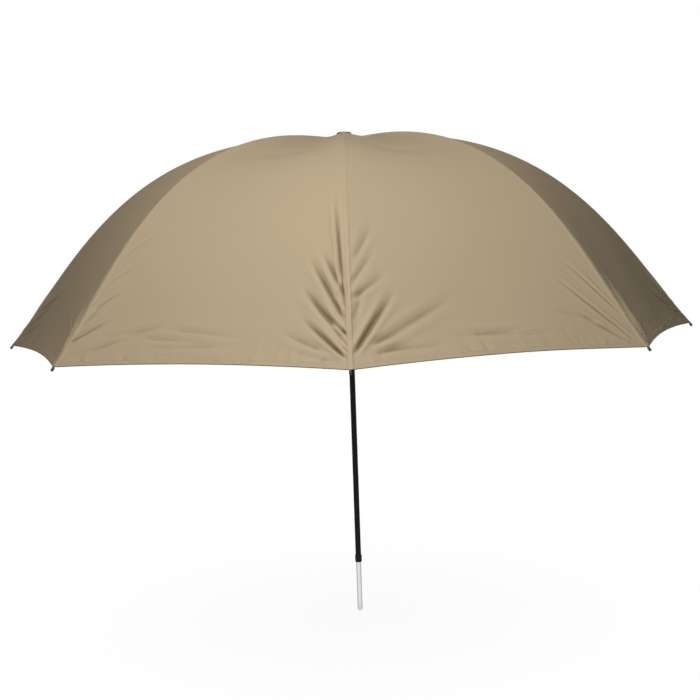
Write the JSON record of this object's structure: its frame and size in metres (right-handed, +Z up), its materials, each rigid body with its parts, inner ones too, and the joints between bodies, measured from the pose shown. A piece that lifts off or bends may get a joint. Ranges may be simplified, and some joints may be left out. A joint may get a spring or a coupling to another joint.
{
  "type": "fishing umbrella",
  "caption": "Round-topped fishing umbrella with folding ribs, stretchers and a sliding runner under a cloth canopy, on a mast that slides up a steel pole with a ground spike.",
  "frame": {"origin": "tip of the ground spike, on the mast's axis", "axes": "+Z up the mast; rib 1 points to -Y, and the ribs are numbered from it towards +X"},
  "size_m": [2.1978, 2.1978, 1.5544],
  "materials": {
    "canopy_cloth": "plain woven khaki cloth, matt outside",
    "bright_steel": "bright plated steel tube",
    "zinc_steel": "zinc-plated steel, satin",
    "black_paint": "black stoved paint, semi-gloss",
    "black_plastic": "moulded black plastic, satin",
    "pale_nylon": "natural nylon"
  },
  "bodies": {
    "root": {"spike_pole": "bright_steel", "pole_bush": "black_plastic"},
    "mast": {"mast_tube": "black_paint", "lock_collet": "pale_nylon", "crown_hub": "black_plastic", "crown_ring": "zinc_steel", "crown_cap": "black_plastic", "top_patch": "canopy_cloth"},
    "collar": {"lock_collar": "black_plastic"},
    "catch": {"runner_catch": "zinc_steel"},
    "runner_body": {"runner": "black_plastic", "runner_ring": "zinc_steel"},
    "rib_arm_1": {"rib_1": "zinc_steel", "rib_clip_1": "zinc_steel", "rivet_1": "zinc_steel", "tip_cap_1": "black_plastic", "canopy_1": "canopy_cloth"},
    "stretcher_arm_1": {"stretcher_1": "zinc_steel"},
    "rib_arm_2": {"rib_2": "zinc_steel", "rib_clip_2": "zinc_steel", "rivet_2": "zinc_steel", "tip_cap_2": "black_plastic", "canopy_2": "canopy_cloth"},
    "stretcher_arm_2": {"stretcher_2": "zinc_steel"},
    "rib_arm_3": {"rib_3": "zinc_steel", "rib_clip_3": "zinc_steel", "rivet_3": "zinc_steel", "tip_cap_3": "black_plastic", "canopy_3": "canopy_cloth"},
    "stretcher_arm_3": {"stretcher_3": "zinc_steel"},
    "rib_arm_4": {"rib_4": "zinc_steel", "rib_clip_4": "zinc_steel", "rivet_4": "zinc_steel", "tip_cap_4": "black_plastic", "canopy_4": "canopy_cloth"},
    "stretcher_arm_4": {"stretcher_4": "zinc_steel"},
    "rib_arm_5": {"rib_5": "zinc_steel", "rib_clip_5": "zinc_steel", "rivet_5": "zinc_steel", "tip_cap_5": "black_plastic", "canopy_5": "canopy_cloth"},
    "stretcher_arm_5": {"stretcher_5": "zinc_steel"},
    "rib_arm_6": {"rib_6": "zinc_steel", "rib_clip_6": "zinc_steel", "rivet_6": "zinc_steel", "tip_cap_6": "black_plastic", "canopy_6": "canopy_cloth"},
    "stretcher_arm_6": {"stretcher_6": "zinc_steel"},
    "rib_arm_7": {"rib_7": "zinc_steel", "rib_clip_7": "zinc_steel", "rivet_7": "zinc_steel", "tip_cap_7": "black_plastic", "canopy_7": "canopy_cloth"},
    "stretcher_arm_7": {"stretcher_7": "zinc_steel"},
    "rib_arm_8": {"rib_8": "zinc_steel", "rib_clip_8": "zinc_steel", "rivet_8": "zinc_steel", "tip_cap_8": "black_plastic", "canopy_8": "canopy_cloth"},
    "stretcher_arm_8": {"stretcher_8": "zinc_steel"}
  },
  "joints": [
    {"name": "pole_extend", "type": "slide", "parent": "root", "child": "mast", "axis": [0, 0, 1], "range_m": [0, 0.63]},
    {"name": "collar_turn", "type": "hinge", "parent": "mast", "child": "collar", "pos_m": [0, 0, 0.177], "axis": [0, 0, 1], "range_deg": [0, 90]},
    {"name": "catch_press", "type": "hinge", "parent": "mast", "child": "catch", "pos_m": [0, -0.0083, 1.19287], "axis": [-1, 0, 0], "range_deg": [0, 8], "stiffness_Nm_per_rad": 0.5, "springref_deg": -8.59},
    {"name": "rib_fold_1", "type": "hinge", "parent": "mast", "child": "rib_arm_1", "pos_m": [0, -0.016, 1.5263], "axis": [1, 0, 0], "range_deg": [0, 56], "deforming": ["canopy_1", "runner_catch"]},
    {"name": "rib_fold_2", "type": "hinge", "parent": "mast", "child": "rib_arm_2", "pos_m": [0.01131, -0.01131, 1.5263], "axis": [0.7071, 0.7071, 0], "range_deg": [0, 56], "deforming": ["canopy_2"]},
    {"name": "rib_fold_3", "type": "hinge", "parent": "mast", "child": "rib_arm_3", "pos_m": [0.016, 0, 1.5263], "axis": [0, 1, 0], "range_deg": [0, 56], "deforming": ["canopy_3"]},
    {"name": "rib_fold_4", "type": "hinge", "parent": "mast", "child": "rib_arm_4", "pos_m": [0.01131, 0.01131, 1.5263], "axis": [-0.7071, 0.7071, 0], "range_deg": [0, 56], "deforming": ["canopy_4"]},
    {"name": "rib_fold_5", "type": "hinge", "parent": "mast", "child": "rib_arm_5", "pos_m": [0, 0.016, 1.5263], "axis": [-1, 0, 0], "range_deg": [0, 56], "deforming": ["canopy_5"]},
    {"name": "rib_fold_6", "type": "hinge", "parent": "mast", "child": "rib_arm_6", "pos_m": [-0.01131, 0.01131, 1.5263], "axis": [-0.7071, -0.7071, 0], "range_deg": [0, 56], "deforming": ["canopy_6"]},
    {"name": "rib_fold_7", "type": "hinge", "parent": "mast", "child": "rib_arm_7", "pos_m": [-0.016, 0, 1.5263], "axis": [0, -1, 0], "range_deg": [0, 56], "deforming": ["canopy_7"]},
    {"name": "rib_fold_8", "type": "hinge", "parent": "mast", "child": "rib_arm_8", "pos_m": [-0.01131, -0.01131, 1.5263], "axis": [0.7071, -0.7071, 0], "range_deg": [0, 56], "deforming": ["canopy_8"]},
    {"name": "stretcher_fold_1", "type": "hinge", "parent": "rib_arm_1", "child": "stretcher_arm_1", "pos_m": [0, -0.58745, 1.40873], "axis": [1, 0, 0], "range_deg": [-112, 0]},
    {"name": "stretcher_fold_2", "type": "hinge", "parent": "rib_arm_2", "child": "stretcher_arm_2", "pos_m": [0.41539, -0.41539, 1.40873], "axis": [0.7071, 0.7071, 0], "range_deg": [-112, 0]},
    {"name": "stretcher_fold_3", "type": "hinge", "parent": "rib_arm_3", "child": "stretcher_arm_3", "pos_m": [0.58745, 0, 1.40873], "axis": [0, 1, 0], "range_deg": [-112, 0]},
    {"name": "stretcher_fold_4", "type": "hinge", "parent": "rib_arm_4", "child": "stretcher_arm_4", "pos_m": [0.41539, 0.41539, 1.40873], "axis": [-0.7071, 0.7071, 0], "range_deg": [-112, 0]},
    {"name": "stretcher_fold_5", "type": "hinge", "parent": "rib_arm_5", "child": "stretcher_arm_5", "pos_m": [0, 0.58745, 1.40873], "axis": [-1, 0, 0], "range_deg": [-112, 0]},
    {"name": "stretcher_fold_6", "type": "hinge", "parent": "rib_arm_6", "child": "stretcher_arm_6", "pos_m": [-0.41539, 0.41539, 1.40873], "axis": [-0.7071, -0.7071, 0], "range_deg": [-112, 0]},
    {"name": "stretcher_fold_7", "type": "hinge", "parent": "rib_arm_7", "child": "stretcher_arm_7", "pos_m": [-0.58745, 0, 1.40873], "axis": [0, -1, 0], "range_deg": [-112, 0]},
    {"name": "stretcher_fold_8", "type": "hinge", "parent": "rib_arm_8", "child": "stretcher_arm_8", "pos_m": [-0.41539, -0.41539, 1.40873], "axis": [0.7071, -0.7071, 0], "range_deg": [-112, 0]},
    {"name": "runner_hinge", "type": "hinge", "parent": "stretcher_arm_1", "child": "runner_body", "pos_m": [0, -0.016, 1.29116], "axis": [1, 0, 0], "range_deg": [0, 56]}
  ],
  "couplings": [
    {"joint": "rib_fold_2", "follows": "rib_fold_1", "ratio": 1},
    {"joint": "rib_fold_3", "follows": "rib_fold_1", "ratio": 1},
    {"joint": "rib_fold_4", "follows": "rib_fold_1", "ratio": 1},
    {"joint": "rib_fold_5", "follows": "rib_fold_1", "ratio": 1},
    {"joint": "rib_fold_6", "follows": "rib_fold_1", "ratio": 1},
    {"joint": "rib_fold_7", "follows": "rib_fold_1", "ratio": 1},
    {"joint": "rib_fold_8", "follows": "rib_fold_1", "ratio": 1},
    {"joint": "stretcher_fold_1", "follows": "rib_fold_1", "ratio": -2},
    {"joint": "stretcher_fold_2", "follows": "rib_fold_1", "ratio": -2},
    {"joint": "stretcher_fold_3", "follows": "rib_fold_1", "ratio": -2},
    {"joint": "stretcher_fold_4", "follows": "rib_fold_1", "ratio": -2},
    {"joint": "stretcher_fold_5", "follows": "rib_fold_1", "ratio": -2},
    {"joint": "stretcher_fold_6", "follows": "rib_fold_1", "ratio": -2},
    {"joint": "stretcher_fold_7", "follows": "rib_fold_1", "ratio": -2},
    {"joint": "stretcher_fold_8", "follows": "rib_fold_1", "ratio": -2},
    {"joint": "runner_hinge", "follows": "rib_fold_1", "ratio": 1}
  ]
}
